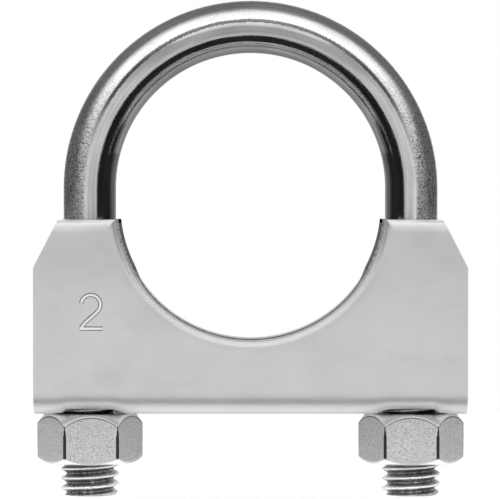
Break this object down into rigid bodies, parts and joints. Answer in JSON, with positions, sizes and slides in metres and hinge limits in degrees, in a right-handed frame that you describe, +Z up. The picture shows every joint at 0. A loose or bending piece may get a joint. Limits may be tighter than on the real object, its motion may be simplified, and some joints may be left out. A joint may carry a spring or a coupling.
{
  "type": "saddle u-bolt clamp",
  "caption": "Round steel U-bolt with threaded legs, a stamped sheet saddle shaped to a pipe, and hexagon nuts that draw the U down on the pipe.",
  "frame": {"origin": "on the axis of the clamped pipe, half way through the saddle", "axes": "+X to the right across both legs, +Y along the pipe away from the numbered face, +Z up along the legs towards the crown of the U"},
  "size_m": [0.0812, 0.024, 0.0936],
  "materials": {
    "bright_rod": "bright drawn steel, fine marks along the rod",
    "satin_sheet": "satin sheet with bright bends",
    "nut_steel": "finely grained flats, turned chamfers"
  },
  "bodies": {
    "saddle": {"saddle": "satin_sheet"},
    "u_bolt": {"u_bolt": "bright_rod"},
    "left_nut": {"left_nut": "nut_steel"},
    "right_nut": {"right_nut": "nut_steel"}
  },
  "joints": [
    {"name": "left_nut_spin", "type": "hinge", "parent": "saddle", "child": "left_nut", "pos_m": [-0.03048, 0, -0.044], "axis": [0, 0, 1], "range_deg": [-990, 690]},
    {"name": "right_nut_spin", "type": "hinge", "parent": "saddle", "child": "right_nut", "pos_m": [0.03048, 0, -0.044], "axis": [0, 0, 1], "range_deg": [-990, 690]},
    {"name": "bolt_slide", "type": "slide", "parent": "saddle", "child": "u_bolt", "axis": [0, 0, 1], "range_m": [-0.00347, 0.00498]}
  ],
  "couplings": [
    {"joint": "left_nut_spin", "follows": "bolt_slide", "rad_per_m": -3463.2},
    {"joint": "right_nut_spin", "follows": "bolt_slide", "rad_per_m": -3463.2}
  ]
}
